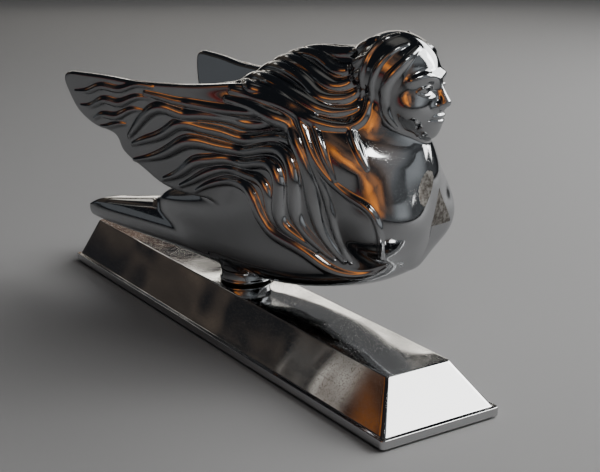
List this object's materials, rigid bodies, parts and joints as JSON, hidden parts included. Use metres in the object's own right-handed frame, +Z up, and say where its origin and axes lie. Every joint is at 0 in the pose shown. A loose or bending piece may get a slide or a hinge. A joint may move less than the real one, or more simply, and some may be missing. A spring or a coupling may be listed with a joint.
{
  "type": "hood ornament",
  "caption": "Chrome-plated winged figure with swept-back hair on a round collar, swivelling on a long bar base with sloping sides, with a latch lever under it.",
  "frame": {"origin": "middle of the object's box in plan, on the plane the base rests on; the base's centreline runs parallel to Y at x = 5.1 mm because the turned figure overhangs to one side", "axes": "+Z up; +Y along the base towards its square rear end; the sloping nose of the base points to -Y"},
  "size_m": [0.1022, 0.253, 0.13],
  "materials": {
    "chrome_base": "polished plating, lightly pitted",
    "chrome_figure": "polished plating over a die casting, worn dull in places",
    "steel": "machined",
    "bronze": "sintered",
    "rubber": "matt"
  },
  "bodies": {
    "base": {"base_casting": "chrome_base", "base_gasket": "rubber", "mount_insert_1": "steel", "mount_insert_2": "steel", "mount_insert_3": "steel", "mount_insert_4": "steel", "stop_pin": "steel", "spindle_bushing": "bronze", "weather_seal": "rubber"},
    "ornament": {"figure_casting": "chrome_figure", "pedestal_collar": "chrome_figure", "spindle": "steel", "spindle_screw_1": "steel", "spindle_screw_2": "steel", "spindle_screw_3": "steel", "thrust_washer": "bronze", "wave_washer": "steel", "lower_washer": "steel", "stop_plate": "steel", "latch_lever": "steel", "link_pin": "steel", "release_roller": "steel", "lock_washer": "steel", "spindle_nut": "steel"}
  },
  "joints": [
    {"name": "ornament_swivel", "type": "hinge", "parent": "base", "child": "ornament", "pos_m": [0.0051, 0.0052, 0], "axis": [0, 0, 1], "range_deg": [-17.5, 72.5]}
  ]
}
